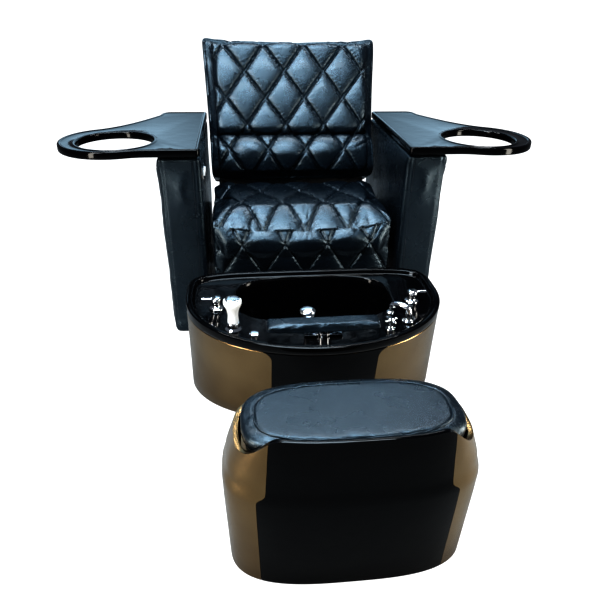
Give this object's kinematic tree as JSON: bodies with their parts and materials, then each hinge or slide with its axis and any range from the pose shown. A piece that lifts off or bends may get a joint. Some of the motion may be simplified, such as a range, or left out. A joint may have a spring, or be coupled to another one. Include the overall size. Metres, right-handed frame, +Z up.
{
  "type": "pedicure spa chair",
  "caption": "Upholstered reclining pedicure chair with swing-out arm trays, a plumbed foot basin with footrest and a matching rolling stool.",
  "frame": {"origin": "bottom centre of the bounding box, on the floor, under the seat's front edge", "axes": "+X to the right seen from the front, +Y towards the backrest, +Z up; the chair faces -Y"},
  "size_m": [1.5232, 1.7506, 0.9197],
  "materials": {
    "black_leather": "semi-gloss pebbled black leather with quilted seams",
    "gloss_black": "high-gloss black moulding",
    "champagne_gold": "glass-fibre moulding with gloss champagne-gold metallic paint",
    "chrome": "polished chrome plate",
    "white_plastic": "gloss white moulding",
    "painted_steel": "satin black paint",
    "zinc_steel": "zinc-plated steel",
    "plywood": "bare plywood",
    "black_plastic": "matt black moulding",
    "rubber": "black rubber"
  },
  "bodies": {
    "root": {"base_frame": "painted_steel", "arm_left": "black_leather", "arm_right": "black_leather", "rear_panel": "black_leather", "slide_rails": "zinc_steel", "power_inlet": "black_plastic", "switch_plate": "chrome", "tray_bush_left": "white_plastic", "tray_bush_right": "white_plastic", "basin_tub": "gloss_black", "basin_side_left": "champagne_gold", "basin_side_right": "champagne_gold", "basin_front_panel": "gloss_black", "basin_base_pan": "painted_steel", "footrest_bracket": "chrome", "hot_valve": "chrome", "cold_valve": "chrome", "spray_holder": "chrome", "spray_hose": "rubber", "drain_body": "chrome", "jet_motor": "black_plastic", "jet_cover": "gloss_black"},
    "recline_rocker": {"recline_switch": "white_plastic"},
    "slide_rocker": {"slide_switch": "white_plastic"},
    "carriage": {"seat_pan": "plywood", "seat_cushion": "black_leather", "seat_apron": "black_leather", "carriage_frame": "painted_steel"},
    "back": {"back_frame": "painted_steel", "back_cushion": "black_leather", "back_shell": "black_leather"},
    "actuator": {"actuator_body": "black_plastic"},
    "piston": {"actuator_rod": "chrome"},
    "left_tray": {"tray_left": "gloss_black"},
    "right_tray": {"tray_right": "gloss_black"},
    "hot_handle": {"hot_lever": "chrome"},
    "cold_handle": {"cold_lever": "chrome"},
    "tap_spout": {"spout": "chrome"},
    "diverter": {"diverter_knob": "chrome"},
    "spray": {"spray_head": "white_plastic"},
    "button": {"jet_button": "chrome"},
    "drain_control": {"drain_knob": "chrome"},
    "stopper": {"drain_stopper": "chrome"},
    "impeller": {"jet_impeller": "white_plastic"},
    "footrest": {"footrest_post": "chrome", "footrest_pad": "black_leather"},
    "lock_knob": {"footrest_lock_knob": "chrome"},
    "stool": {"stool_centre_panel": "gloss_black", "stool_shell": "champagne_gold", "stool_frame": "plywood", "stool_cushion": "black_leather"},
    "caster_1": {"caster_fork_1": "zinc_steel"},
    "wheel_1": {"caster_wheel_1": "rubber"},
    "caster_2": {"caster_fork_2": "zinc_steel"},
    "wheel_2": {"caster_wheel_2": "rubber"},
    "caster_3": {"caster_fork_3": "zinc_steel"},
    "wheel_3": {"caster_wheel_3": "rubber"},
    "caster_4": {"caster_fork_4": "zinc_steel"},
    "wheel_4": {"caster_wheel_4": "rubber"}
  },
  "joints": [
    {"name": "seat_slide", "type": "slide", "parent": "root", "child": "carriage", "axis": [0, -1, 0], "range_m": [-0.03, 0.06]},
    {"name": "recline", "type": "hinge", "parent": "carriage", "child": "back", "pos_m": [0, 0.587, 0.33], "axis": [-1, 0, 0], "range_deg": [0, 30]},
    {"name": "actuator_swing", "type": "hinge", "parent": "carriage", "child": "actuator", "pos_m": [0, 0.232, 0.165], "axis": [-1, 0, 0], "range_deg": [-5, 0.5]},
    {"name": "actuator_extend", "type": "slide", "parent": "actuator", "child": "piston", "axis": [0, 0.9841, 0.1774], "range_m": [-0.055, 0.002]},
    {"name": "tray_left_swing", "type": "hinge", "parent": "root", "child": "left_tray", "pos_m": [-0.393, 0.532, 0.65], "axis": [0, 0, 1], "range_deg": [0, 30]},
    {"name": "tray_right_swing", "type": "hinge", "parent": "root", "child": "right_tray", "pos_m": [0.393, 0.532, 0.65], "axis": [0, 0, -1], "range_deg": [0, 30]},
    {"name": "recline_switch_rock", "type": "hinge", "parent": "root", "child": "recline_rocker", "pos_m": [-0.3171, 0.204, 0.565], "axis": [0, 0, 1], "range_deg": [-8, 8], "stiffness_Nm_per_rad": 0.05},
    {"name": "slide_switch_rock", "type": "hinge", "parent": "root", "child": "slide_rocker", "pos_m": [-0.3171, 0.24, 0.565], "axis": [0, 0, 1], "range_deg": [-8, 8], "stiffness_Nm_per_rad": 0.05},
    {"name": "hot_turn", "type": "hinge", "parent": "root", "child": "hot_handle", "pos_m": [-0.283, -0.183, 0.31], "axis": [0, 0, 1], "range_deg": [0, 90]},
    {"name": "cold_turn", "type": "hinge", "parent": "root", "child": "cold_handle", "pos_m": [0.283, -0.183, 0.31], "axis": [0, 0, -1], "range_deg": [0, 90]},
    {"name": "spout_swivel", "type": "hinge", "parent": "root", "child": "tap_spout", "pos_m": [0.243, -0.293, 0.3], "axis": [0, 0, 1], "range_deg": [-40, 40]},
    {"name": "diverter_turn", "type": "hinge", "parent": "root", "child": "diverter", "pos_m": [0.182, -0.334, 0.3], "axis": [0, 0, 1], "range_deg": [0, 90]},
    {"name": "spray_lift", "type": "slide", "parent": "root", "child": "spray", "axis": [0, 0, 1], "range_m": [0, 0.12]},
    {"name": "jet_button_press", "type": "slide", "parent": "root", "child": "button", "axis": [0, 0, -1], "range_m": [0, 0.003], "stiffness_N_per_m": 1000, "springref_m": -0.003},
    {"name": "drain_knob_turn", "type": "hinge", "parent": "root", "child": "drain_control", "pos_m": [0.2, -0.26, 0.29], "axis": [0, 0, 1], "range_deg": [0, 90]},
    {"name": "drain_stopper_lift", "type": "slide", "parent": "root", "child": "stopper", "axis": [0, 0, 1], "range_m": [0, 0.01]},
    {"name": "jet_impeller_spin", "type": "hinge", "parent": "root", "child": "impeller", "pos_m": [0, -0.029, 0.15], "axis": [0, 1, 0], "continuous": true},
    {"name": "footrest_height", "type": "slide", "parent": "root", "child": "footrest", "axis": [0, 0, 1], "range_m": [0, 0.05]},
    {"name": "footrest_lock_turn", "type": "hinge", "parent": "root", "child": "lock_knob", "pos_m": [-0.036, -0.286, 0.3], "axis": [0, 0, 1], "range_deg": [0, 180]},
    {"name": "stool_roll", "type": "slide", "parent": "root", "child": "stool", "axis": [0, -1, 0], "range_m": [-0.12, 0.3]},
    {"name": "caster_swivel_1", "type": "hinge", "parent": "stool", "child": "caster_1", "pos_m": [-0.165, -0.8, 0.05], "axis": [0, 0, 1], "continuous": true},
    {"name": "caster_roll_1", "type": "hinge", "parent": "caster_1", "child": "wheel_1", "pos_m": [-0.165, -0.786, 0.02], "axis": [1, 0, 0], "continuous": true},
    {"name": "caster_swivel_2", "type": "hinge", "parent": "stool", "child": "caster_2", "pos_m": [0.165, -0.8, 0.05], "axis": [0, 0, 1], "continuous": true},
    {"name": "caster_roll_2", "type": "hinge", "parent": "caster_2", "child": "wheel_2", "pos_m": [0.165, -0.786, 0.02], "axis": [1, 0, 0], "continuous": true},
    {"name": "caster_swivel_3", "type": "hinge", "parent": "stool", "child": "caster_3", "pos_m": [-0.165, -0.69, 0.05], "axis": [0, 0, 1], "continuous": true},
    {"name": "caster_roll_3", "type": "hinge", "parent": "caster_3", "child": "wheel_3", "pos_m": [-0.165, -0.676, 0.02], "axis": [1, 0, 0], "continuous": true},
    {"name": "caster_swivel_4", "type": "hinge", "parent": "stool", "child": "caster_4", "pos_m": [0.165, -0.69, 0.05], "axis": [0, 0, 1], "continuous": true},
    {"name": "caster_roll_4", "type": "hinge", "parent": "caster_4", "child": "wheel_4", "pos_m": [0.165, -0.676, 0.02], "axis": [1, 0, 0], "continuous": true}
  ],
  "couplings": [
    {"joint": "actuator_swing", "follows": "recline", "ratio": -0.11184},
    {"joint": "actuator_extend", "follows": "recline", "m_per_rad": -0.091112},
    {"joint": "drain_knob_turn", "follows": "drain_stopper_lift", "rad_per_m": 157.08}
  ]
}
